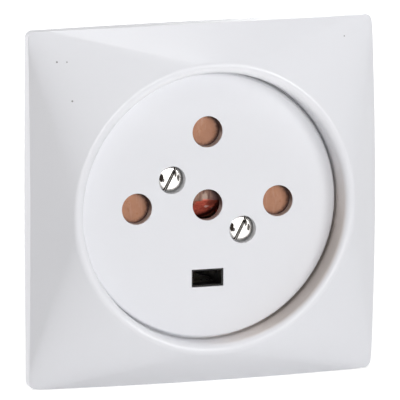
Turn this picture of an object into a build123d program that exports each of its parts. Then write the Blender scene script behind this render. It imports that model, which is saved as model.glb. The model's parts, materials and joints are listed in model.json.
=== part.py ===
from build123d import *
import math
import os

# Flush wall socket for a five-pole round-pin plug, with a sliding safety shutter.
# All sizes are in millimetres. The origin is the centre of the wall plane.
# Pieces are drawn in a working frame: x to the right, y up, z out of the wall.
# They are turned at the end, so that the front faces -Y and +Z is up.

# Cover plate
plate_side = 80.0            # outer side of the square plate, at the corners
plate_bow = 0.2              # how far each side bulges at its middle
plate_corner_r = 1.6         # rounding of the four corners, seen from the front
plate_wall = 1.9             # moulded wall of the plate
plate_edge_mid = 4.4         # height of the side wall at the middle of a side
side_turn = 5.0              # degrees that each long side turns from its middle to its end
pillow_foot = 2.0            # height where the sloping front would meet its square foot
pillow_corner_r = 3.0
lip_height = 12.8            # front of the raised lip round the recess
lip_width = 2.2              # from the recess to where the sloping front meets the lip
lip_inner_fillet = 1.5
lip_round_run = 0.53         # how far the outer rounding reaches in over the lip
recess_r = 30.3              # round recess wall
recess_wall = 1.7
ledge_thick = 1.2            # inner ledge that the face disc clamps
ledge_width = 1.7
rib_thick = 1.2
rib_gap = 1.0                # between the yoke and the ribs

# Face disc
disc_gap = 0.5               # between the disc's edge and the recess wall
disc_front = 7.0             # height of the disc's front face above the wall
disc_thick = 2.2
disc_edge_r = 0.6
pin_circle_r = 16.4          # centre to each outer pin and to the earth slot
pin_hole_r = 3.5
earth_slot_w = 7.4
earth_slot_h = 4.0
face_screw_x = 8.2           # the two face screws sit on a diagonal
face_screw_y = 6.0
screw_seat_depth = 3.4       # from the front face to the seat of the screw head
screw_well_r = 3.1
screw_boss_r = 3.8
screw_boss_drop = 2.2        # how far each boss reaches behind the disc

# Shutter
shutter_thick = 3.0
shutter_play = 0.15          # gap in front of and behind the shutter
shutter_travel = 7.5
shutter_cover = 0.6          # how far the shutter reaches past each pin hole
shutter_hole_r = 3.5
shutter_rim = 1.3            # material outside the shutter's own holes
lobe_corner_r = 3.0
ramp_top = 0.6               # the ramp starts this far above the socket's axis
ramp_depth = 6.0             # how deep the ramp's foot lies behind its top
ramp_back = 1.5              # the wedge's back, above the socket's axis
guide_gap = 0.3              # side clearance of everything that slides

# Return springs of the shutter
spring_x = 14.5
spring_wire = 0.45
spring_mean_r = 1.15
spring_free_length = 13.2    # as fitted, with the shutter closed
spring_turns = 7
spring_seat_gap = 0.02

# Yoke
yoke_side_margin = 5.0       # from the plate's outer side to the yoke
yoke_end_margin = 2.5
yoke_thick = 1.5
yoke_corner_cut = 11.0
yoke_corner_r = 2.0
wall_screw_spacing = 60.0
wall_slot_r = 2.1
wall_slot_length = 5.4
yoke_screw_inset = 2.3       # from the yoke's end to its screw

# Base body
drum_r = 26.0
drum_depth = 25.0            # behind the wall plane
flange_inset = 0.7           # the flange is this much smaller than the recess
boss_gap = 0.2               # between the base's raised centre and the ledge
yoke_hole_gap = 0.3
ear_w = 10.0
ear_thick = 1.5
ear_end_gap = 0.3
wall_screw_notch = 7.4
wall_screw_notch_r = 26.6
earth_collar_gap = 0.1
earth_collar_wall = 0.3
earth_collar_sink = 0.3      # the collar stays this far under the disc's face
insert_press_gap = 0.02
screw_tip_gap = 0.6
tapping_end_gap = 0.5

# Contacts
sleeve_front = -4.1
sleeve_bore_r = 3.0
sleeve_wall = 0.8
sleeve_chamfer = 0.3
sleeve_root = 1.0            # solid metal between the pin's bore and the clamp block
sleeve_slit = 0.7
sleeve_slit_length = 8.0
block_length = 9.0
block_rear_gap = 1.0         # from the clamp block to the base's rear
block_chamfer = 0.5
block_w = 8.4
block_in = 4.0               # from the pin's axis towards the centre
block_out = 5.6              # from the pin's axis outwards
wire_bore_r = 2.1
wire_bore_depth = 7.5
pocket_gap = 0.2
grip_ring_thick = 0.7
grip_ring_w = 1.6
grip_ring_back = 3.0         # from the sleeve's mouth to the ring
grip_ring_split = 1.6
grip_ring_turn = 60.0        # where the split stands
neutral_angle = -45.0
strap_w = 5.0
strap_thick = 2.4
leaf_w = 5.8
leaf_thick = 0.6
leaf_pinch = 1.2             # half the gap where the leaves grip the blade
leaf_root = 2.1
leaf_mouth = 1.9
leaf_front = 3.4
leaf_pinch_at = -1.0
terminal_screw_sink = 0.6    # the clamp screw stands this far behind the block's middle
terminal_head_gap = 0.1
terminal_tip_gap = 0.2
join = 0.1                   # overlap of shapes that make one piece
over = 1.0                   # how far a cut runs past the surface that it opens

# Screws
fit_gap = 0.05               # between a thread and its hole
m4_r = 1.85
m4_head_r = 3.2
m4_head_h = 2.2
m35_r = 1.7
m35_head_r = 2.85
m35_head_h = 1.9
m35_length = 12.0
m3_r = 1.45
m3_head_r = 2.75
m3_head_h = 1.3
tapping_r = 1.35
tapping_head_r = 2.6
tapping_head_h = 1.7
tapping_length = 11.0
slot_depth = 0.9
slot_width = 0.9
face_screw_slot_width = 0.7
face_screw_turn = 62.0
yoke_screw_slot_width = 0.8
yoke_screw_turn = 20.0
yoke_screw_tip_gap = 0.1
head_rounding = 0.35         # share of the head's height
tip_bevel = 0.3              # share of the thread's radius
insert_r = 2.5
insert_length = 8.0
insert_front = 2.4
insert_chamfer = 0.3

# Rear cover
rear_thick = 2.5
rear_edge_gap = 0.2
rear_wire_hole_r = 2.6
rear_collar_r = 4.0
rear_edge_r = 0.8
rear_screw_circle_r = 20.0
rear_screw_angles = (45.0, 225.0)

# Values that follow from the sizes above
half_side = plate_side / 2
half_mid = half_side + plate_bow
lip_r = recess_r + lip_width
front_run = half_mid - lip_r
front_fall = lip_height - plate_edge_mid
front_slope = math.atan2(front_fall, front_run)
lip_outer_fillet = lip_round_run / math.tan(front_slope / 2)
disc_r = recess_r - disc_gap
flange_r = recess_r - flange_inset
yoke_w = plate_side - 2 * yoke_side_margin
yoke_h = plate_side - 2 * yoke_end_margin
yoke_screw_y = yoke_h / 2 - yoke_screw_inset
disc_back = disc_front - disc_thick
ledge_back = disc_back - ledge_thick
ledge_r = recess_r - ledge_width
flange_front = ledge_back
boss_r = ledge_r - boss_gap
shutter_front = disc_back - shutter_play
shutter_rear = shutter_front - shutter_thick
pocket_floor = shutter_rear - shutter_play
pillar_front = disc_back - screw_boss_drop
ear_front = yoke_thick + ear_thick
screw_seat = disc_front - screw_seat_depth
block_back = block_rear_gap - drum_depth
block_front = block_back + block_length
sleeve_bore_end = block_front + sleeve_root
sleeve_r = sleeve_bore_r + sleeve_wall
ring_inner_r = sleeve_r + fit_gap
ring_outer_r = ring_inner_r + grip_ring_thick
sleeve_cavity_r = ring_outer_r + guide_gap
terminal_z = (block_front + block_back) / 2 - terminal_screw_sink
lobe_half = pin_hole_r + shutter_cover
spring_foot = lobe_half
spring_top = spring_foot + spring_free_length
wedge_z = shutter_front - ramp_depth
well_floor = wedge_z - guide_gap
earth_out_w = earth_slot_w - 2 * earth_collar_gap
earth_out_h = earth_slot_h - 2 * earth_collar_gap
earth_in_w = earth_out_w - 2 * earth_collar_wall
earth_in_h = earth_out_h - 2 * earth_collar_wall
face_screws = ((-face_screw_x, face_screw_y), (face_screw_x, -face_screw_y))
outer_pins = {"phase_1": 90.0, "phase_2": 180.0, "phase_3": 0.0}
pin_places = [(0.0, pin_circle_r), (-pin_circle_r, 0.0), (0.0, 0.0), (pin_circle_r, 0.0)]
earth_angle = -90.0
terminal_angles = {
    "phase_1": 90.0,
    "phase_2": 180.0,
    "phase_3": 0.0,
    "neutral": neutral_angle,
    "earth": earth_angle,
}


def polar(radius, angle):
    """A point of the working frame at a radius and an angle from the x axis."""
    return radius * math.cos(math.radians(angle)), radius * math.sin(math.radians(angle))


def disc(radius, z_low, z_high, x=0.0, y=0.0):
    """An upright round solid between two heights."""
    return Pos(x, y, z_low) * extrude(Circle(radius), z_high - z_low)


def ring(r_in, r_out, z_low, z_high):
    """A plain ring about the socket's axis."""
    return Pos(0, 0, z_low) * extrude(Circle(r_out) - Circle(r_in), z_high - z_low)


def slab(x_low, x_high, y_low, y_high, z_low, z_high):
    """A rectangular space given by its limits."""
    size = (x_high - x_low, y_high - y_low, z_high - z_low)
    middle = ((x_low + x_high) / 2, (y_low + y_high) / 2, (z_low + z_high) / 2)
    return Pos(*middle) * Box(*size)


def pillow_section(z, half_width, corner_r):
    """A square with bowed sides and round corners at height z; a corner as wide as the half is a circle."""
    sine = math.sin(math.radians(side_turn))
    cosine = math.cos(math.radians(side_turn))
    side_r = (half_width + corner_r * (sine - cosine)) / (1 + sine - cosine)
    shift = half_width - side_r
    centre = shift + (side_r - corner_r) * cosine
    arcs = []
    for turn in range(4):
        side = ThreePointArc(
            (shift + side_r * cosine, -side_r * sine),
            (half_width, 0),
            (shift + side_r * cosine, side_r * sine))
        middle = centre + corner_r * math.sqrt(0.5)
        corner = ThreePointArc(
            (shift + side_r * cosine, side_r * sine),
            (middle, middle),
            (side_r * sine, shift + side_r * cosine))
        arcs += [side.rotate(Axis.Z, 90 * turn), corner.rotate(Axis.Z, 90 * turn)]
    return Pos(0, 0, z) * Face(Wire(arcs))


def pillow(drop):
    """The cushion form: a round lip that falls to four arched sides, lowered by drop."""
    foot_half = lip_r + front_run / front_fall * (lip_height - pillow_foot)
    foot = pillow_section(pillow_foot, foot_half, pillow_corner_r)
    form = loft([foot, pillow_section(lip_height, lip_r, lip_r)], ruled=True)
    skirt = extrude(foot, -lip_height)
    return Pos(0, 0, -drop) * (form + skirt)


def bowed_square(inset, z_low, z_high, corner_r):
    """A square prism whose four sides bulge a little."""
    corner = half_side - inset
    middle = half_mid - inset
    sides = []
    for turn in range(4):
        arc = ThreePointArc((corner, -corner), (middle, 0), (corner, corner))
        sides.append(arc.rotate(Axis.Z, 90 * turn))
    outline = make_face(Wire(sides))
    prism = extrude(outline, z_high - z_low)
    prism = fillet(prism.edges().filter_by(Axis.Z), corner_r)
    return Pos(0, 0, z_low) * prism


def cover_plate():
    outer = pillow(0)
    top = outer.faces().sort_by(Axis.Z)[-1]
    outer = fillet(top.edges(), lip_outer_fillet)
    outer = outer & bowed_square(0, 0, lip_height + over, plate_corner_r)
    drop = plate_wall * math.hypot(front_run, front_fall) / front_run
    hollow = pillow(drop) & bowed_square(plate_wall, -over, lip_height, plate_corner_r / 2)
    tube_r = recess_r + recess_wall
    tube = disc(tube_r, ledge_back, lip_height)
    hollow = hollow - tube
    rib_low = yoke_thick + rib_gap
    for angle in (45, 135):
        rib = slab(-plate_side, plate_side, -rib_thick / 2, rib_thick / 2, rib_low, lip_height)
        hollow = hollow - (Rot(0, 0, angle) * rib - disc(tube_r, 0, lip_height))
    shell = outer - hollow - disc(ledge_r, -over, lip_height + over)
    shell = shell - disc(recess_r, disc_back, lip_height + over)
    rims = shell.edges().filter_by(GeomType.CIRCLE)
    mouth = rims.filter_by(lambda e: abs(e.radius - recess_r) < 0.01).sort_by(Axis.Z)[-1]
    return fillet(mouth, lip_inner_fillet)


def face_disc():
    body = disc(disc_r, disc_back, disc_front)
    body = fillet(body.faces().sort_by(Axis.Z)[-1].edges(), disc_edge_r)
    for x, y in face_screws:
        body = body + disc(screw_boss_r, pillar_front, disc_back, x, y)
    for x, y in face_screws:
        body = body - disc(screw_well_r, screw_seat, disc_front + over, x, y)
        body = body - disc(m35_r + pocket_gap, pillar_front - over, disc_front, x, y)
    for x, y in pin_places:
        body = body - disc(pin_hole_r, disc_back - over, disc_front + over, x, y)
    slot = Pos(0, -pin_circle_r, (disc_back + disc_front) / 2)
    return body - slot * Box(earth_slot_w, earth_slot_h, disc_thick + 2 * over)


def shutter_outline(extra, lift_low, lift_high):
    """The shutter seen from the front, swept along its travel and grown by a clearance."""
    lobe_x = pin_circle_r + lobe_half + extra
    foot = -shutter_travel - shutter_hole_r - shutter_rim - extra + lift_low
    head = lobe_half + extra + lift_high
    lobes = Pos(0, (foot + head) / 2) * RectangleRounded(2 * lobe_x, head - foot, lobe_corner_r)
    tongue_low = Pos(0, foot / 2 + (pin_circle_r + lift_high) / 2)
    tongue = tongue_low * Rectangle(2 * (lobe_half + extra), pin_circle_r + lift_high - foot)
    tip = Pos(0, pin_circle_r + lift_high) * Circle(lobe_half + extra)
    return lobes + tongue + tip


def shutter_notch(x, y, reach):
    """Room for a screw boss beside the tongue; reach is +1 for open above, -1 for below."""
    half = screw_boss_r + guide_gap
    far = half_side * reach
    near = y if reach < 0 else y - shutter_travel
    middle = Pos(x, (near + far) / 2)
    return middle * Rectangle(2 * half, abs(far - near)) + Pos(x, near) * Circle(half)


def shutter():
    plan = shutter_outline(0, 0, 0)
    for (x, y), reach in zip(face_screws, (1, -1)):
        plan = plan - shutter_notch(x, y, reach)
    for x, y in pin_places:
        plan = plan - Pos(x, y - shutter_travel) * Circle(shutter_hole_r)
    body = Pos(0, 0, shutter_rear) * extrude(plan, shutter_thick)
    foot_y = shutter_hole_r - shutter_travel
    # The wedge under the centre hole, with its inclined front cut as a ramp.
    wedge = slab(-pin_hole_r, pin_hole_r, foot_y, ramp_back, wedge_z, shutter_rear)
    wedge = wedge - disc(shutter_hole_r, wedge_z - over, shutter_front, 0, -shutter_travel)
    body = body + wedge
    ramp_profile = Polyline(
        (ramp_top, shutter_front), (foot_y - over, shutter_front + over),
        (foot_y - over, wedge_z + over), (foot_y, wedge_z + over), close=True)
    cut = extrude(make_face(Plane.YZ * ramp_profile), pin_hole_r, both=True)
    return body - cut


def return_spring(side):
    """A helical spring, drawn as one closed tube round its wire line."""
    height = spring_free_length - spring_wire - 2 * spring_seat_gap
    line = Helix(height / spring_turns, height, spring_mean_r)
    start = Plane(line @ 0, z_dir=line % 0)
    coil = sweep(start * Circle(spring_wire / 2), path=line, is_frenet=True)
    foot = spring_foot + spring_wire / 2 + spring_seat_gap
    middle = (shutter_front + shutter_rear) / 2
    return Pos(side * spring_x, foot, middle) * Rot(-90, 0, 0) * coil


def pocket():
    """The space that the shutter and its springs need in the base."""
    top = disc_back + over
    outline = shutter_outline(guide_gap, 0, shutter_travel)
    space = Pos(0, 0, pocket_floor) * extrude(outline, top - pocket_floor)
    for side in (-1, 1):
        half = spring_mean_r + spring_wire + guide_gap
        x = side * spring_x
        space = space + slab(x - half, x + half, 0, spring_top, pocket_floor, top)
    well_top = ramp_back + shutter_travel + guide_gap
    well_foot = shutter_hole_r - shutter_travel - guide_gap
    well_half = pin_hole_r + guide_gap
    return space + slab(-well_half, well_half, well_foot, well_top, well_floor, pocket_floor)


def base_body():
    body = disc(drum_r, -drum_depth, yoke_thick) + disc(flange_r, yoke_thick, flange_front)
    body = body + disc(boss_r, flange_front, disc_back)
    ear_end = yoke_h / 2 - ear_end_gap
    ears = slab(-ear_w / 2, ear_w / 2, -ear_end, ear_end, yoke_thick, ear_front)
    body = body + ears
    for side in (-1, 1):
        notch_x = side * (wall_screw_notch_r + half_side / 2)
        body = body - Pos(notch_x, 0, disc_back) * Box(half_side, wall_screw_notch, 2 * disc_back)
        body = body - disc(m3_r + fit_gap, 0, disc_back, 0, side * yoke_screw_y)
        body = body - Pos(0, side * yoke_screw_y, ear_front) * m3_countersink(fit_gap)
    body = body - pocket()
    for x, y in face_screws:
        body = body + disc(screw_boss_r, well_floor, pillar_front, x, y)
        insert_back = insert_front - insert_length
        body = body - disc(insert_r + insert_press_gap, insert_back, disc_back + over, x, y)
        tip = screw_seat - m35_length - screw_tip_gap
        body = body - disc(m35_r + pocket_gap, tip, insert_back, x, y)
    for x, y in pin_places:
        body = body - disc(pin_hole_r, sleeve_front, pocket_floor + over, x, y)
        body = body - disc(sleeve_cavity_r, block_front, sleeve_front, x, y)
    for angle in terminal_angles.values():
        body = body - terminal_pocket(angle)
    strap_half = strap_w / 2 + pocket_gap
    rear = -drum_depth - over
    strap_room = slab(0, pin_circle_r, -strap_half, strap_half, rear, block_front)
    body = body - Rot(0, 0, neutral_angle) * strap_room
    body = body - disc(sleeve_r + pocket_gap, rear, block_front)
    body = body - earth_room() + earth_collar()
    for angle in rear_screw_angles:
        x, y = polar(rear_screw_circle_r, angle)
        hole_end = tapping_length - rear_thick + tapping_end_gap - drum_depth
        body = body - disc(tapping_r + fit_gap, rear, hole_end, x, y)
    return body


def terminal_pocket(angle):
    """Room for a terminal block, open at the rear and, for its screw, at the side."""
    half = block_w / 2 + pocket_gap
    low = pin_circle_r - block_in - pocket_gap
    high = pin_circle_r + block_out + pocket_gap
    rear = -drum_depth - over
    room = slab(low, high, -half, half, rear, block_front)
    head = m4_head_r + guide_gap
    window = slab(high - over, drum_r + over, -head, head, rear, terminal_z + head)
    return Rot(0, 0, angle) * (room + window)


def earth_room():
    """The cavity of the earth contact's two leaves, with the blade's way in."""
    half_w = leaf_w / 2 + guide_gap
    half_h = leaf_root + leaf_thick + pocket_gap
    y = -pin_circle_r
    leaf_top = leaf_front + pocket_gap
    room = slab(-half_w, half_w, y - half_h, y + half_h, block_front - join, leaf_top)
    way_w = earth_in_w / 2
    way_h = earth_in_h / 2
    return room + slab(-way_w, way_w, y - way_h, y + way_h, leaf_top - join, disc_front + over)


def earth_collar():
    """The base's own collar, which lines the earth slot in the face disc."""
    front = disc_front - earth_collar_sink
    section = Rectangle(earth_out_w, earth_out_h) - Rectangle(earth_in_w, earth_in_h)
    foot = leaf_front + pocket_gap
    return Pos(0, -pin_circle_r, foot) * extrude(section, front - foot)


def terminal_block(x_centre):
    """A brass clamp block with a wire hole from the rear and a screw hole from the side."""
    low = x_centre - block_in
    high = x_centre + block_out
    block = slab(low, high, -block_w / 2, block_w / 2, block_back, block_front)
    block = chamfer(block.edges().filter_by(Axis.Z), block_chamfer)
    block = block - disc(wire_bore_r, block_back - over, block_back + wire_bore_depth, x_centre, 0)
    screw_hole = extrude(Circle(m4_r + fit_gap), block_out + over)
    return block - Pos(x_centre, 0, terminal_z) * Rot(0, 90, 0) * screw_hole


def sleeve():
    """A round split contact sleeve on the working frame's axis."""
    body = disc(sleeve_r, block_front, sleeve_front)
    body = chamfer(body.faces().sort_by(Axis.Z)[-1].edges(), sleeve_chamfer)
    body = body - disc(sleeve_bore_r, sleeve_bore_end, sleeve_front + over)
    half = sleeve_slit / 2
    slit_end = sleeve_front - sleeve_slit_length
    slit = slab(-sleeve_r - over, sleeve_r + over, -half, half, slit_end, sleeve_front + over)
    for angle in (45, 135):
        body = body - Rot(0, 0, angle) * slit
    return body


def phase_contact(angle):
    piece = Pos(pin_circle_r, 0, 0) * sleeve() + terminal_block(pin_circle_r)
    return Rot(0, 0, angle) * piece


def neutral_contact():
    """The centre sleeve, joined by a strap to a terminal between two others."""
    strap_z = block_front - strap_thick
    strap_end = pin_circle_r - block_in + join
    strap = slab(0, strap_end, -strap_w / 2, strap_w / 2, strap_z, block_front)
    foot = disc(sleeve_r, strap_z, block_front)
    arm = strap + foot + terminal_block(pin_circle_r)
    return sleeve() + Rot(0, 0, neutral_angle) * arm


def earth_contact():
    """A clamp block with two sprung leaves that grip the flat earth blade."""
    root = block_front - join
    leaves = []
    for side in (-1, 1):
        inner = [
            (side * leaf_root, root),
            (side * leaf_root, root / 2),
            (side * leaf_pinch, leaf_pinch_at),
            (side * leaf_mouth, leaf_front),
        ]
        outer = [(y + side * leaf_thick, z) for y, z in reversed(inner)]
        profile = make_face(Plane.YZ * Polyline(*(inner + outer), close=True))
        leaves.append(extrude(profile, leaf_w / 2, both=True))
    block = Rot(0, 0, earth_angle) * terminal_block(pin_circle_r)
    return block + Pos(0, -pin_circle_r, 0) * (leaves[0] + leaves[1])


def grip_ring(x, y):
    """A split steel ring that closes the sleeve on the pin."""
    top = sleeve_front - grip_ring_back
    body = ring(ring_inner_r, ring_outer_r, top - grip_ring_w, top)
    half = grip_ring_split / 2
    gap = slab(0, ring_outer_r + over, -half, half, top - grip_ring_w - over, top + over)
    return Pos(x, y, 0) * (body - Rot(0, 0, grip_ring_turn) * gap)


def slotted_screw(radius, length, head_r, head_h, slot_angle=0.0, slot_w=slot_width):
    """A cheese-head screw along z, with the underside of its head at z = 0."""
    head = disc(head_r, 0, head_h)
    head = fillet(head.faces().sort_by(Axis.Z)[-1].edges(), head_h * head_rounding)
    shank = disc(radius, -length, 0)
    shank = chamfer(shank.faces().sort_by(Axis.Z)[0].edges(), radius * tip_bevel)
    groove_foot = head_h - slot_depth
    groove = slab(-head_r - over, head_r + over, -slot_w / 2, slot_w / 2, groove_foot, head_h + over)
    return head + shank - Rot(0, 0, slot_angle) * groove


def m3_countersink(gap):
    """The cone under a countersunk head, with its flat face at z = 0."""
    cone = Cone(m3_r + gap, m3_head_r + gap, m3_head_h)
    return Pos(0, 0, -m3_head_h / 2) * cone


def terminal_screw(angle):
    seat = pin_circle_r + block_out + terminal_head_gap
    tip = pin_circle_r + wire_bore_r + terminal_tip_gap
    screw = slotted_screw(m4_r, seat - tip, m4_head_r, m4_head_h)
    return Rot(0, 0, angle) * Pos(seat, 0, terminal_z) * Rot(0, 90, 0) * screw


def face_screw(x, y):
    screw = slotted_screw(
        m35_r, m35_length, m35_head_r, m35_head_h, face_screw_turn, face_screw_slot_width)
    return Pos(x, y, screw_seat) * screw


def thread_insert(x, y):
    body = disc(insert_r, insert_front - insert_length, insert_front)
    body = chamfer(body.edges().filter_by(GeomType.CIRCLE), insert_chamfer)
    return Pos(x, y, 0) * (body - disc(m35_r + fit_gap, -drum_depth, insert_front + over))


def yoke():
    outline = Rectangle(yoke_w, yoke_h)
    outline = chamfer(outline.vertices(), yoke_corner_cut)
    outline = fillet(outline.vertices(), yoke_corner_r)
    outline = outline - Circle(drum_r + yoke_hole_gap)
    for side in (-1, 1):
        slot = SlotOverall(wall_slot_length, 2 * wall_slot_r)
        outline = outline - Pos(side * wall_screw_spacing / 2, 0) * slot
        outline = outline - Pos(0, side * yoke_screw_y) * Circle(m3_r + fit_gap)
    return extrude(outline, yoke_thick)


def yoke_screw(side):
    """A countersunk screw, flush with the base's ear."""
    screw = disc(m3_r, yoke_screw_tip_gap - ear_front, 0) + m3_countersink(0)
    half = yoke_screw_slot_width / 2
    groove = slab(-m3_head_r, m3_head_r, -half, half, -slot_depth / 2, over)
    screw = screw - Rot(0, 0, yoke_screw_turn * side) * groove
    return Pos(0, side * yoke_screw_y, ear_front) * screw


def rear_cover():
    back = -drum_depth - rear_thick
    body = disc(drum_r - rear_edge_gap, back, -drum_depth)
    body = fillet(body.faces().sort_by(Axis.Z)[0].edges(), rear_edge_r)
    for angle in terminal_angles.values():
        x, y = polar(pin_circle_r, angle)
        body = body + disc(rear_collar_r, -drum_depth, block_back - fit_gap, x, y)
    for angle in terminal_angles.values():
        x, y = polar(pin_circle_r, angle)
        body = body - disc(rear_wire_hole_r, back - over, block_back, x, y)
    for angle in rear_screw_angles:
        x, y = polar(rear_screw_circle_r, angle)
        body = body - disc(tapping_r + pocket_gap, back - over, 0, x, y)
    return body


def rear_screw(angle):
    x, y = polar(rear_screw_circle_r, angle)
    screw = slotted_screw(tapping_r, tapping_length, tapping_head_r, tapping_head_h)
    return Pos(x, y, -drum_depth - rear_thick) * Rot(180, 0, 0) * screw


def make_nodes():
    nodes = {
        "cover_plate": cover_plate(),
        "face_disc": face_disc(),
        "shutter": shutter(),
        "return_spring_left": return_spring(-1),
        "return_spring_right": return_spring(1),
        "base_body": base_body(),
        "rear_cover": rear_cover(),
        "yoke": yoke(),
        "contact_neutral": neutral_contact(),
        "contact_earth": earth_contact(),
        "grip_ring_neutral": grip_ring(0, 0),
        "face_screw_upper": face_screw(*face_screws[0]),
        "face_screw_lower": face_screw(*face_screws[1]),
        "insert_upper": thread_insert(*face_screws[0]),
        "insert_lower": thread_insert(*face_screws[1]),
        "yoke_screw_top": yoke_screw(1),
        "yoke_screw_bottom": yoke_screw(-1),
    }
    for name, angle in outer_pins.items():
        nodes["contact_" + name] = phase_contact(angle)
        nodes["grip_ring_" + name] = grip_ring(*polar(pin_circle_r, angle))
    for name, angle in terminal_angles.items():
        nodes["terminal_screw_" + name] = terminal_screw(angle)
    for number, angle in enumerate(rear_screw_angles, start=1):
        nodes[f"rear_screw_{number}"] = rear_screw(angle)
    return nodes


os.makedirs("parts", exist_ok=True)
for node, solid in make_nodes().items():
    placed = Plane.XZ.location * solid
    export_step(placed, f"parts/{node}.step")
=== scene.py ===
import json
import math

import bmesh
import bpy
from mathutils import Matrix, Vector


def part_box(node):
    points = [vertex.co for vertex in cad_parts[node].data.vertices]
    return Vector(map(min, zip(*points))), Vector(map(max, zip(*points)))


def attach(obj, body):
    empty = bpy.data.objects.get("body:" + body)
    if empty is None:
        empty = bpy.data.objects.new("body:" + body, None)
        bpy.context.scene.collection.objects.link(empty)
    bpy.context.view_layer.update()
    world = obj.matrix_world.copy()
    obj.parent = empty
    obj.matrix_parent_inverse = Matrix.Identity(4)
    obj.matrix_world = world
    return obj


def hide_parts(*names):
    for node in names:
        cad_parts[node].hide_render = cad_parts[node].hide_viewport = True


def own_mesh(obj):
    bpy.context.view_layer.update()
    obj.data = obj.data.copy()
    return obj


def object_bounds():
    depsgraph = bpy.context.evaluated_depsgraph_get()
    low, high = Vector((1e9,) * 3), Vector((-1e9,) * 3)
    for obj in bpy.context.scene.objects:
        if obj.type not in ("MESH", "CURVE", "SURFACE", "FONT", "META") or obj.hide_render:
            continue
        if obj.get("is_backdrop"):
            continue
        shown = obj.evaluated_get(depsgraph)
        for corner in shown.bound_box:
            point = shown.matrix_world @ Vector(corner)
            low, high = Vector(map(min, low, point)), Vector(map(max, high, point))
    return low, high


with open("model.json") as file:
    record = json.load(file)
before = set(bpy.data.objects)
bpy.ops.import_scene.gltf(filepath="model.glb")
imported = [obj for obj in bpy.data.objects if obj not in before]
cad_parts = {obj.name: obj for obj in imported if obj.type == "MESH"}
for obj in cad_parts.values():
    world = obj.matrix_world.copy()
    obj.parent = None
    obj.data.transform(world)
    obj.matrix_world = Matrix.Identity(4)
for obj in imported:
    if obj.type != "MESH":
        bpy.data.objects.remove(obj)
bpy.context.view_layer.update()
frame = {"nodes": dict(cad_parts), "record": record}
nodes = frame["nodes"]
MM = 0.001

# Camera
# It stands to the left of the socket and a little above it, far off with a long lens.

DISC_FACE = Vector((0, -7.0 * MM, 0))    # middle of the disc's front
AZIMUTH = math.radians(18.5)
ELEVATION = math.radians(10.5)
DISTANCE = 1.95
PIXELS_PER_MM = 4.528
IMAGE_WIDTH = 400
SHIFT_PIXELS = (-7.6, 4.9)


def towards(azimuth, elevation):
    """A direction from the socket; azimuth runs to its left, as it is seen from the front."""
    flat = math.cos(elevation)
    return Vector((-math.sin(azimuth) * flat, -math.cos(azimuth) * flat, math.sin(elevation)))


def aim(thing, place, target):
    thing.location = place
    thing.rotation_euler = (target - place).to_track_quat("-Z", "Y").to_euler()


camera_data = bpy.data.cameras.new("camera")
camera_data.sensor_width = 36.0
camera_data.lens = 36.0 * PIXELS_PER_MM * DISTANCE / MM / IMAGE_WIDTH
camera_data.shift_x = SHIFT_PIXELS[0] / IMAGE_WIDTH
camera_data.shift_y = SHIFT_PIXELS[1] / IMAGE_WIDTH
camera_data.clip_end = 20
camera = bpy.data.objects.new("camera", camera_data)
bpy.context.scene.collection.objects.link(camera)
aim(camera, DISC_FACE + DISTANCE * towards(AZIMUTH, ELEVATION), DISC_FACE)
bpy.context.scene.camera = camera
bpy.context.scene.view_settings.view_transform = "Standard"


# Node helpers

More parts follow.
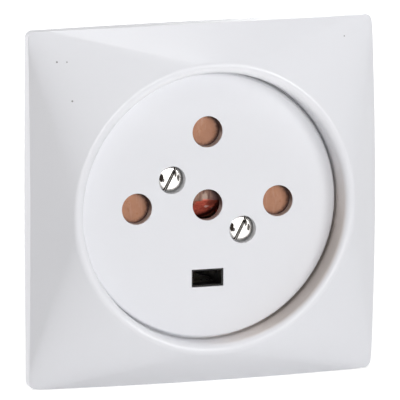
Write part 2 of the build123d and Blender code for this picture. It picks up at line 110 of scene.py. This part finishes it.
class Graph:
    """Adds nodes to a material one after another."""

    def __init__(self, name):
        self.material = bpy.data.materials.new(name)
        self.material.use_nodes = True
        self.tree = self.material.node_tree
        self.tree.nodes.clear()
        self.output = self.add("ShaderNodeOutputMaterial")
        self.place = self.add("ShaderNodeTexCoord").outputs["Object"]

    def add(self, kind, **values):
        node = self.tree.nodes.new(kind)
        for key, value in values.items():
            setattr(node, key, value)
        return node

    def put(self, value, socket):
        """Links an output to a socket, or sets a plain value on it."""
        if isinstance(value, bpy.types.NodeSocket):
            self.tree.links.new(value, socket)
        else:
            socket.default_value = value

    def noise(self, scale, detail=3.0, roughness=0.5, stretch=None):
        node = self.add("ShaderNodeTexNoise")
        self.put(scale, node.inputs["Scale"])
        self.put(detail, node.inputs["Detail"])
        self.put(roughness, node.inputs["Roughness"])
        place = self.place
        if stretch:
            mapping = self.add("ShaderNodeMapping")
            self.put(place, mapping.inputs["Vector"])
            self.put(stretch, mapping.inputs["Scale"])
            place = mapping.outputs["Vector"]
        self.put(place, node.inputs["Vector"])
        return node.outputs["Fac"]

    def remap(self, value, low, high, to_low, to_high, smooth=False):
        node = self.add("ShaderNodeMapRange")
        if smooth:
            node.interpolation_type = "SMOOTHSTEP"
        for key, number in (("Value", value), ("From Min", low), ("From Max", high),
                            ("To Min", to_low), ("To Max", to_high)):
            self.put(number, node.inputs[key])
        return node.outputs["Result"]

    def maths(self, operation, a, b=0.0):
        node = self.add("ShaderNodeMath", operation=operation)
        self.put(a, node.inputs[0])
        self.put(b, node.inputs[1])
        return node.outputs[0]

    def mix(self, factor, a, b):
        node = self.add("ShaderNodeMix", data_type="RGBA")
        self.put(factor, node.inputs["Factor"])
        self.put(a, [s for s in node.inputs if s.name == "A" and s.type == "RGBA"][0])
        self.put(b, [s for s in node.inputs if s.name == "B" and s.type == "RGBA"][0])
        return [s for s in node.outputs if s.type == "RGBA"][0]

    def bump(self, height, distance, strength=1.0, normal=None):
        node = self.add("ShaderNodeBump")
        self.put(strength, node.inputs["Strength"])
        self.put(distance, node.inputs["Distance"])
        self.put(height, node.inputs["Height"])
        if normal is not None:
            self.put(normal, node.inputs["Normal"])
        return node.outputs["Normal"]

    def along(self, direction):
        """How far a point lies along a direction, in millimetres."""
        node = self.add("ShaderNodeVectorMath", operation="DOT_PRODUCT")
        self.put(self.place, node.inputs[0])
        self.put([c / MM for c in direction], node.inputs[1])
        return node.outputs["Value"]

    def patch(self, centre, radii, soft=0.6, ragged=0.0, scale=1500):
        """1 within an oval on the front, 0 outside it; centre and radii are in millimetres."""
        x = self.maths("DIVIDE", self.maths("SUBTRACT", self.along((1, 0, 0)), centre[0]), radii[0])
        z = self.maths("DIVIDE", self.maths("SUBTRACT", self.along((0, 0, 1)), centre[1]), radii[1])
        both = self.maths("ADD", self.maths("MULTIPLY", x, x), self.maths("MULTIPLY", z, z))
        if ragged:
            wander = self.remap(self.noise(scale, 3, 0.6), 0.3, 0.7, -ragged, ragged)
            both = self.maths("ADD", both, wander)
        return self.remap(both, soft * soft, 1.0, 1.0, 0.0, True)

    def depth(self, start, end, smooth=True):
        """0 in front of the first depth and 1 behind the second, in millimetres."""
        return self.remap(self.along((0, 1, 0)), start, end, 0.0, 1.0, smooth)

    def times(self, a, b):
        return self.maths("MULTIPLY", a, b)

    def stain(self, tone, mask, strength, colour):
        """Lays a colour over the tone where the mask is 1."""
        return self.mix(self.times(mask, strength), tone, rgb(*colour))

    def edges(self, width):
        """Near 1 along the piece's sharp edges and 0 on its faces."""
        round_normal = self.add("ShaderNodeBevel", samples=4)
        self.put(width, round_normal.inputs["Radius"])
        geometry = self.add("ShaderNodeNewGeometry")
        product = self.add("ShaderNodeVectorMath", operation="DOT_PRODUCT")
        self.put(round_normal.outputs["Normal"], product.inputs[0])
        self.put(geometry.outputs["Normal"], product.inputs[1])
        return self.remap(product.outputs["Value"], 0.97, 0.80, 0.0, 1.0)

    def surface(self, **inputs):
        shader = self.add("ShaderNodeBsdfPrincipled")
        for key, value in inputs.items():
            self.put(value, shader.inputs[key.replace("_", " ")])
        self.put(shader.outputs["BSDF"], self.output.inputs["Surface"])
        return self.material


def rgb(red, green, blue):
    return (red, green, blue, 1.0)


# Places on the front, in millimetres: x to the right, z up, and y negative towards the viewer

PIN_PLACES = ((0, 16.4), (-16.4, 0), (16.4, 0), (0, 0))
PIN_HOLE_R = 3.5
DISC_R = 29.8
RECESS_R = 30.3
LIP_R = 32.2
LIP_Y = -12.8
DISC_Y = -7.0
SCREW_Y = -5.5
SHUTTER_Y = -4.65
SCREW_AT = (-8.2, 6.0)      # upper screw; the lower one is opposite
SLOT_TURN = 62
LOWER_RIGHT = (0.8, 0, -0.6)
UPPER_RIGHT = (0.8, 0, 0.6)

# Marks: centre, radius or radii, and for some a strength

SPECKS = (((-34.4, 33.6), 0.26, 0.8), ((-32.3, 33.6), 0.20, 0.7), ((-31.9, 25.3), 0.26, 0.8),
          ((32.4, 35.9), 0.22, 0.7))
# Painted highlights: pale pink spots on the shutter's ramp that stand in for glints of light.
RAMP_PAINTED_HIGHLIGHTS = (((1.15, -1.15), (0.62, 0.36)), ((2.6, -1.7), (0.40, 0.30)))
# Dark patches on the face screw heads.
SCREW_DARK_PATCHES = (((-2.05, 0.40), (0.55, 1.10), 1.0), ((-1.60, -0.20), (0.36, 0.45), 0.9),
                ((1.22, 1.10), (0.30, 0.75), 0.9), ((1.85, 0.10), (0.36, 0.85), 0.9))


# White plate and disc

def pin_hole_painted_shade(g, tone):
    """Painted shade in the pin holes: their walls are painted warmer and darker than the face, and a
    painted shadow darkens their upper right.
    """
    reach = PIN_HOLE_R + 0.25
    for x, z in PIN_PLACES:
        wall = g.times(g.patch((x, z), (reach, reach), 0.97), g.depth(DISC_Y + 0.15, DISC_Y + 0.45))
        # Painted shade: the walls of each hole are painted a darker warm grey.
        tone = g.stain(tone, wall, 0.75, (0.62, 0.53, 0.47))
        middle = UPPER_RIGHT[0] * x + UPPER_RIGHT[2] * z
        # Painted shadow: the upper right of each hole wall is painted nearly black.
        side = g.remap(g.along(UPPER_RIGHT), middle + 2.0, middle + 3.2, 0.0, 0.9, True)
        tone = g.stain(tone, wall, side, (0.07, 0.030, 0.026))
    return tone


def recess_painted_shade_and_light(g, tone):
    """Painted shade and light on the recess: its wall is painted warmer and darker towards the lower
    right, the disc is painted darker towards its top as the lip's shadow, and the upper part of the ring
    is painted whiter as light.
    """
    lip = g.patch((0, 0), (LIP_R, LIP_R), 0.97)
    ring = g.maths("SUBTRACT", lip, g.patch((0, 0), (RECESS_R - 0.15, RECESS_R - 0.15), 0.995))
    ring = g.maths("MAXIMUM", ring, 0.0)
    wall = g.times(ring, g.depth(LIP_Y + 0.1, LIP_Y + 1.4))
    aside = g.along(LOWER_RIGHT)
    # Painted shade: the recess wall is painted warmer towards the right and darker still at the lower
    # right.
    tone = g.stain(tone, wall, g.remap(aside, 12.0, 30.5, 0.0, 1.0, True), (0.705, 0.625, 0.570))
    tone = g.stain(tone, wall, g.remap(aside, 24.5, 30.0, 0.0, 0.55, True), (0.42, 0.38, 0.355))
    height = g.along((0, 0, 1))
    disc = g.patch((0, 0), (DISC_R + 0.3, DISC_R + 0.3), 0.995)
    # Painted shadow of the lip: the disc is painted darker towards its top.
    tone = g.stain(tone, disc, g.remap(height, 20.0, 29.0, 0.0, 0.22, True), (0.50, 0.505, 0.53))
    # Painted light: the upper part of the ring is painted whiter.
    return g.stain(tone, ring, g.remap(height, 16.0, 28.0, 0.0, 0.8, True), (0.93, 0.935, 0.955))


def white_plastic():
    """Glossy white moulding: faint clouding, uneven gloss, fine skin and a few specks of dust."""
    g = Graph("white_plastic")
    clouds = g.remap(g.noise(38, 2, 0.4), 0.25, 0.75, 0.0, 1.0)
    tone = g.mix(clouds, rgb(0.800, 0.805, 0.830), rgb(0.792, 0.797, 0.820))
    grain = g.remap(g.noise(2600, 1, 0.5), 0.3, 0.75, 0.0, 0.06)
    tone = g.mix(grain, tone, rgb(0.72, 0.72, 0.73))
    for centre, radius, strength in SPECKS:
        tone = g.stain(tone, g.patch(centre, (radius, radius), 0.3), strength, (0.10, 0.085, 0.08))
    tone = pin_hole_painted_shade(g, tone)
    tone = recess_painted_shade_and_light(g, tone)
    gloss = g.remap(g.noise(150, 2, 0.5), 0.25, 0.75, 0.28, 0.33)
    skin = g.bump(g.noise(1500, 2, 0.5), 0.003 * MM)
    flow = g.bump(g.noise(30, 1, 0.4), 0.05 * MM, 0.3, skin)
    return g.surface(Base_Color=tone, Roughness=gloss, Normal=flow, IOR=1.49)


# Shutter

def shutter_ramp(g, tone, middle):
    """The middle of the shutter: dusty streaks above, and below them the red of its ramp, with painted
    shade at its right, a paler beige blob and painted highlights on the ramp.
    """
    streaks = g.remap(g.noise(1300, 3, 0.6, (1, 1, 0.12)), 0.36, 0.64, 0.0, 1.0)
    dusty = g.mix(streaks, rgb(0.10, 0.038, 0.027), rgb(0.36, 0.20, 0.135))
    # Painted shade: the streaks darken towards the right of the centre hole.
    right = g.remap(g.along((1, 0, 0)), 0.9, 2.3, 0.0, 0.85, True)
    dusty = g.mix(right, dusty, rgb(0.075, 0.025, 0.022))
    tone = g.mix(middle, tone, dusty)
    # A paler beige blob at the top middle of the shutter.
    rubbed = g.patch((0.05, 1.35), (0.85, 1.25), 0.25, 0.35, 900)
    tone = g.stain(tone, rubbed, 0.9, (0.45, 0.325, 0.26))
    ramp = g.depth(SHUTTER_Y + 0.03, SHUTTER_Y + 0.30)
    brink = g.patch((0.5, -0.1), (2.4, 1.15), 0.5, 0.35, 900)
    deep = g.times(middle, g.maths("MAXIMUM", ramp, brink))
    shades = g.remap(g.noise(900, 4, 0.6), 0.35, 0.65, 0.0, 1.0)
    tone = g.mix(deep, tone, g.mix(shades, rgb(0.84, 0.185, 0.120), rgb(0.50, 0.090, 0.060)))
    column = g.patch((-2.5, 0.2), (0.85, 2.6), 0.3, 0.3, 900)
    tone = g.mix(g.times(column, 0.8), tone, dusty)
    # Painted shade: a dark blotch on the right of the ramp.
    shade = g.patch((1.9, 0.1), (1.5, 1.3), 0.35, 0.4, 900)
    tone = g.stain(tone, shade, 0.75, (0.11, 0.028, 0.020))
    # Painted highlights on the ramp.
    for centre, radii in RAMP_PAINTED_HIGHLIGHTS:
        tone = g.stain(tone, g.patch(centre, radii, 0.4, 0.5, 1600), 0.85, (0.95, 0.60, 0.53))
    return tone, deep


def pin_rim_painted_shadows(g, tone):
    """Painted shadow where the shutter lies behind the edge of each pin hole: a dark rim stands in for the
    shade the edge casts.
    """
    for x, z in PIN_PLACES:
        unshaded = g.patch((x - 0.14, z - 0.04), (PIN_HOLE_R, PIN_HOLE_R + 0.05), 0.72, 0.10)
        reach = g.patch((x, z), (4.3, 4.3), 0.9)
        rim = g.times(reach, g.maths("SUBTRACT", 1.0, unshaded))
        # Painted shadow: the shutter is painted nearly black around each hole's edge.
        tone = g.stain(tone, rim, 0.95, (0.034, 0.008, 0.007))
    return tone


def shutter_plastic():
    """Red-brown moulding, dusty where the pins touch it and polished deep red on its ramp, with painted
    shadows at the pin holes' edges and painted shade and highlights in its middle.
    """
    g = Graph("shutter_plastic")
    mottle = g.remap(g.noise(420, 5, 0.6), 0.3, 0.7, 0.0, 1.0)
    tone = g.mix(mottle, rgb(0.455, 0.215, 0.118), rgb(0.385, 0.172, 0.094))
    scuffs = g.remap(g.noise(900, 4, 0.65, (1, 1, 0.22)), 0.52, 0.68, 0.0, 0.45)
    tone = g.mix(scuffs, tone, rgb(0.52, 0.30, 0.21))
    tone, deep = shutter_ramp(g, tone, g.patch((0, 0), (4.6, 4.6), 0.85))
    tone = pin_rim_painted_shadows(g, tone)
    gloss = g.remap(g.noise(500, 4, 0.6), 0.3, 0.7, 0.24, 0.42)
    gloss = g.maths("SUBTRACT", gloss, g.times(deep, 0.18))
    skin = g.bump(g.noise(1600, 3, 0.55), 0.012 * MM)
    ripple = g.bump(g.noise(260, 2, 0.5), 0.25 * MM, 0.5, skin)
    return g.surface(Base_Color=tone, Roughness=gloss, Normal=ripple, IOR=1.53, Specular_IOR_Level=0.3)


# Base and rear cover

def dull_moulded(name, colour, worn, rough):
    """Pressed phenolic or filled nylon: mottled, matt, paler at its rubbed edges; the collar in the earth
    slot is painted near black as painted shade.
    """
    g = Graph(name)
    mottle = g.remap(g.noise(520, 6, 0.7), 0.35, 0.7, 0.0, 1.0)
    tone = g.mix(mottle, rgb(*colour), rgb(*[c * 1.3 + 0.004 for c in colour]))
    behind = g.depth(-3.5, -2.5, False)     # 0 on the collar in the earth slot
    rub = g.times(g.edges(0.35 * MM), g.remap(g.noise(300, 4), 0.4, 0.65, 0.1, 0.8))
    tone = g.mix(g.times(rub, behind), tone, rgb(*worn))
    # Painted shade: the collar down in the earth slot is painted darker than the plastic itself.
    slot_collar_shade = g.maths("SUBTRACT", 1.0, behind)
    tone = g.stain(tone, slot_collar_shade, 0.95, [c * 0.3 for c in colour])
    gloss = g.remap(g.noise(700, 4), 0.3, 0.7, rough - 0.1, rough + 0.12)
    skin = g.bump(g.noise(2600, 3, 0.6), 0.03 * MM)
    return g.surface(Base_Color=tone, Roughness=gloss, Normal=skin, IOR=1.55, Specular_IOR_Level=0.2)


# Metals

def plated(name, colour, dark, rough, stretch, line_depth=0.01, tint=None):
    """Plated or drawn metal: fine lines, uneven polish and bright rubbed edges."""
    g = Graph(name)
    patches = g.remap(g.noise(420, 5, 0.6), 0.38, 0.68, 0.0, 1.0)
    tone = g.mix(patches, rgb(*colour), rgb(*dark))
    if tint:
        tone = g.mix(g.remap(g.noise(160, 3), 0.45, 0.6, 0.0, 0.6), tone, rgb(*tint))
    tone = g.stain(tone, g.edges(0.12 * MM), 0.6, [min(1, c * 1.15) for c in colour])
    gloss = g.remap(g.noise(650, 5, 0.65), 0.3, 0.7, rough - 0.06, rough + 0.12)
    lines = g.bump(g.noise(5200, 2, 0.6, stretch), line_depth * MM)
    return g.surface(Base_Color=tone, Roughness=gloss, Metallic=1.0, Normal=lines)


def screw_shade_and_dark_patches(g):
    """1 where the face screws are painted black: painted shade down in the slot and on the side, and dark
    patches on the head.
    """
    turn = math.radians(SLOT_TURN)
    across = (-math.sin(turn), 0, math.cos(turn))
    offset = abs(across[0] * SCREW_AT[0] + across[2] * SCREW_AT[1])
    off_slot = g.maths("ABSOLUTE", g.maths("SUBTRACT", g.maths("ABSOLUTE", g.along(across)), offset))
    sunk = g.depth(SCREW_Y + 0.15, SCREW_Y + 0.45)
    # Painted shade: the slot is painted black below the head's face.
    shade_and_dark_patches = g.times(g.remap(off_slot, 0.26, 0.38, 1.0, 0.0), sunk)
    # Dark patches on both heads at the listed spots.
    for sign in (1, -1):
        for (x, z), radii, strength in SCREW_DARK_PATCHES:
            centre = (SCREW_AT[0] * sign + x, SCREW_AT[1] * sign + z)
            spot = g.remap(g.patch(centre, radii, 0.6, 0.35, 1300), 0.1, 0.5, 0.0, 1.0)
            shade_and_dark_patches = g.maths("MAXIMUM", shade_and_dark_patches, g.times(spot, strength))
    # Painted shade: the head's side down in its well is painted darker.
    side = g.times(g.depth(SCREW_Y + 0.55, SCREW_Y + 1.15), 0.30)
    return g.maths("MAXIMUM", shade_and_dark_patches, side)


def face_screw_metal():
    """Bright nickel with driver marks, dark patches near its rim and painted shade in its slot and on its
    side.
    """
    g = Graph("nickel_screw")
    patches = g.remap(g.noise(520, 5, 0.6), 0.36, 0.68, 0.0, 1.0)
    tone = g.mix(patches, rgb(0.84, 0.825, 0.80), rgb(0.74, 0.715, 0.67))
    shade_and_dark_patches = screw_shade_and_dark_patches(g)
    # Painted shade in the slot and on the side, and dark patches on the head, all near black.
    tone = g.mix(shade_and_dark_patches, tone, rgb(0.026, 0.019, 0.015))
    gloss = g.remap(g.noise(650, 5, 0.65), 0.3, 0.7, 0.17, 0.34)
    gloss = g.maths("MAXIMUM", gloss, g.times(shade_and_dark_patches, 0.7))
    marks = g.bump(g.noise(2600, 2, 0.6, (1, 1, 0.15)), 0.012 * MM)
    dents = g.bump(g.noise(420, 2, 0.5), 0.05 * MM, 0.6, marks)
    metal = g.remap(shade_and_dark_patches, 0.2, 1.0, 1.0, 0.85)
    return g.surface(Base_Color=tone, Roughness=gloss, Metallic=metal, Normal=dents)


finishes = {
    "white_plastic": white_plastic(),
    "shutter_plastic": shutter_plastic(),
    "black_plastic": dull_moulded("black_plastic", (0.022, 0.0195, 0.018), (0.10, 0.09, 0.085), 0.46),
    "grey_plastic": dull_moulded("grey_plastic", (0.20, 0.205, 0.21), (0.34, 0.34, 0.34), 0.50),
    "zinc_steel": plated("zinc_steel", (0.68, 0.69, 0.70), (0.55, 0.56, 0.57), 0.34, (1, 1, 0.06),
                         tint=(0.70, 0.67, 0.60)),
    "zinc_screw": plated("zinc_screw", (0.72, 0.71, 0.68), (0.56, 0.55, 0.52), 0.30, (1, 1, 1)),
    "nickel_screw": face_screw_metal(),
    "nickel_brass": plated("nickel_brass", (0.66, 0.65, 0.62), (0.50, 0.48, 0.44), 0.28, (1, 0.08, 1),
                           tint=(0.62, 0.54, 0.38)),
    "spring_steel": plated("spring_steel", (0.56, 0.56, 0.56), (0.40, 0.40, 0.40), 0.30, (1, 1, 0.1)),
    "brass": plated("brass", (0.78, 0.58, 0.27), (0.60, 0.42, 0.18), 0.30, (1, 0.1, 1),
                    tint=(0.50, 0.36, 0.20)),
}

slot_of = {part["node"]: part["material_slot"] for part in frame["record"]["subparts"]}
for name, node in nodes.items():
    for place in node.material_slots:
        place.material = finishes[slot_of[name]]


# Return springs
# Each has closed end turns and stands where its plain solid does.

SPRING_WIRE_R = 0.225
SPRING_MEAN_R = 1.15
OPEN_TURNS = 7.0
CLOSED_TURNS = 1.25
RING_POINTS = 12
POINTS_A_TURN = 30


def spring_line(low, high):
    """Points of the wire's middle line, with its ends wound close and flat."""
    total = OPEN_TURNS + 2 * CLOSED_TURNS
    close_pitch = 2.1 * SPRING_WIRE_R
    open_pitch = ((high - low) - 2 * CLOSED_TURNS * close_pitch) / OPEN_TURNS
    count = int(total * POINTS_A_TURN)
    points = []
    for step in range(count + 1):
        turn = total * step / count
        lower = min(turn, CLOSED_TURNS)
        upper = max(turn - CLOSED_TURNS - OPEN_TURNS, 0)
        height = low + (lower + upper) * close_pitch + (turn - lower - upper) * open_pitch
        angle = 2 * math.pi * turn
        points.append((SPRING_MEAN_R * math.cos(angle), SPRING_MEAN_R * math.sin(angle), height))
    return [Vector(p) for p in points]


def tube(name, points, radius, centre):
    """A round wire along points, closed at both ends; sizes in millimetres."""
    mesh = bmesh.new()
    rings = []
    for index, point in enumerate(points):
        ahead = points[min(index + 1, len(points) - 1)]
        behind = points[max(index - 1, 0)]
        along = (ahead - behind).normalized()
        outwards = Vector((point.x, point.y, 0)).normalized()
        across = along.cross(outwards).normalized()
        outwards = across.cross(along)
        ring = []
        for corner in range(RING_POINTS):
            angle = 2 * math.pi * corner / RING_POINTS
            spot = point + radius * (math.cos(angle) * outwards + math.sin(angle) * across)
            ring.append(mesh.verts.new((spot + centre) * MM))
        rings.append(ring)
    for first, second in zip(rings, rings[1:]):
        for corner in range(RING_POINTS):
            after = (corner + 1) % RING_POINTS
            mesh.faces.new((first[corner], first[after], second[after], second[corner]))
    mesh.faces.new(list(reversed(rings[0])))
    mesh.faces.new(rings[-1])
    bmesh.ops.recalc_face_normals(mesh, faces=mesh.faces)
    data = bpy.data.meshes.new(name)
    mesh.to_mesh(data)
    mesh.free()
    for face in data.polygons:
        face.use_smooth = True
    thing = bpy.data.objects.new(name, data)
    bpy.context.scene.collection.objects.link(thing)
    return thing


for side in ("left", "right"):
    node = "return_spring_" + side
    low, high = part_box(node)
    middle = (low + high) / 2 / MM
    line = spring_line(low.z / MM + SPRING_WIRE_R, high.z / MM - SPRING_WIRE_R)
    spring = tube("coil_" + side, line, SPRING_WIRE_R, Vector((middle.x, middle.y, 0)))
    spring.data.materials.append(finishes["spring_steel"])
    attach(spring, "housing")
    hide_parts(node)
    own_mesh(spring)


# Floor
# Seen straight on it glows, so that it is white; near the socket it glows less and keeps the shadow.

FLOOR_GLOW = 0.62
FLOOR_REACH = 4.0
SHADOW_ZONE = (0.12, 0.5)


def add_floor(height):
    mesh = bpy.data.meshes.new("floor")
    corners = [(x * FLOOR_REACH, y * FLOOR_REACH, height) for x, y in ((-1, -1), (1, -1), (1, 1), (-1, 1))]
    mesh.from_pydata(corners, [], [(0, 1, 2, 3)])
    floor = bpy.data.objects.new("floor", mesh)
    bpy.context.scene.collection.objects.link(floor)
    g = Graph("floor")
    paper = g.add("ShaderNodeBsdfDiffuse")
    g.put(rgb(0.82, 0.82, 0.82), paper.inputs["Color"])
    glow = g.add("ShaderNodeEmission")
    reach = g.add("ShaderNodeVectorMath", operation="LENGTH")
    g.put(g.place, reach.inputs[0])
    strength = g.remap(reach.outputs["Value"], *SHADOW_ZONE, FLOOR_GLOW, 1.0, True)
    g.put(strength, glow.inputs["Strength"])
    both = g.add("ShaderNodeAddShader")
    g.put(paper.outputs[0], both.inputs[0])
    g.put(glow.outputs[0], both.inputs[1])
    seen = g.add("ShaderNodeLightPath")
    straight = g.maths("MAXIMUM", seen.outputs["Is Camera Ray"], seen.outputs["Is Glossy Ray"])
    pick = g.add("ShaderNodeMixShader")
    g.put(straight, pick.inputs[0])
    g.put(paper.outputs[0], pick.inputs[1])
    g.put(both.outputs[0], pick.inputs[2])
    g.put(pick.outputs[0], g.output.inputs["Surface"])
    mesh.materials.append(g.material)
    floor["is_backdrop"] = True


add_floor(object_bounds()[0][2])


# Light

def lamp(name, place, size, energy, colour):
    """A square lamp that points at the socket; its energy is in watts."""
    data = bpy.data.lights.new(name, "AREA")
    data.shape = "SQUARE"
    data.size = size
    data.energy = energy
    data.color = colour
    thing = bpy.data.objects.new(name, data)
    bpy.context.scene.collection.objects.link(thing)
    aim(thing, Vector(place), Vector((0, 0, 0)))


lamp("main", (0.587, -1.083, 0.214), 0.4, 5.0, (1.0, 1.0, 1.01))
lamp("front", (0.0, -1.2, 0.1), 0.6, 6.5, (1.0, 1.0, 1.01))
lamp("overhead", (0.0, -0.05, 1.2), 0.6, 7.0, (1.0, 1.0, 1.02))
lamp("left", (-1.15, -0.3, 0.1), 0.6, 1.4, (1.0, 0.94, 0.88))
lamp("behind_left", (-0.95, 0.80, 0.12), 0.3, 8.6, (1.0, 1.0, 1.02))
lamp("behind_right", (0.55, 1.10, 0.14), 0.3, 1.6, (1.0, 1.0, 1.02))


def add_world(strength):
    """Faint light from all round; seen straight on or mirrored, the world is white."""
    world = bpy.data.worlds.new("room")
    world.use_nodes = True
    bpy.context.scene.world = world
    tree = world.node_tree
    tree.nodes.clear()
    out = tree.nodes.new("ShaderNodeOutputWorld")
    dim = tree.nodes.new("ShaderNodeBackground")
    dim.inputs["Strength"].default_value = strength
    white = tree.nodes.new("ShaderNodeBackground")
    seen = tree.nodes.new("ShaderNodeLightPath")
    either = tree.nodes.new("ShaderNodeMath")
    either.operation = "MAXIMUM"
    also = tree.nodes.new("ShaderNodeMath")
    also.operation = "MAXIMUM"
    pick = tree.nodes.new("ShaderNodeMixShader")
    tree.links.new(seen.outputs["Is Camera Ray"], either.inputs[0])
    tree.links.new(seen.outputs["Is Glossy Ray"], either.inputs[1])
    tree.links.new(either.outputs[0], also.inputs[0])
    tree.links.new(seen.outputs["Is Transmission Ray"], also.inputs[1])
    for background in (dim, white):
        background.inputs["Color"].default_value = (1, 1, 1, 1)
    tree.links.new(also.outputs[0], pick.inputs[0])
    tree.links.new(dim.outputs[0], pick.inputs[1])
    tree.links.new(white.outputs[0], pick.inputs[2])
    tree.links.new(pick.outputs[0], out.inputs["Surface"])


add_world(0.02)
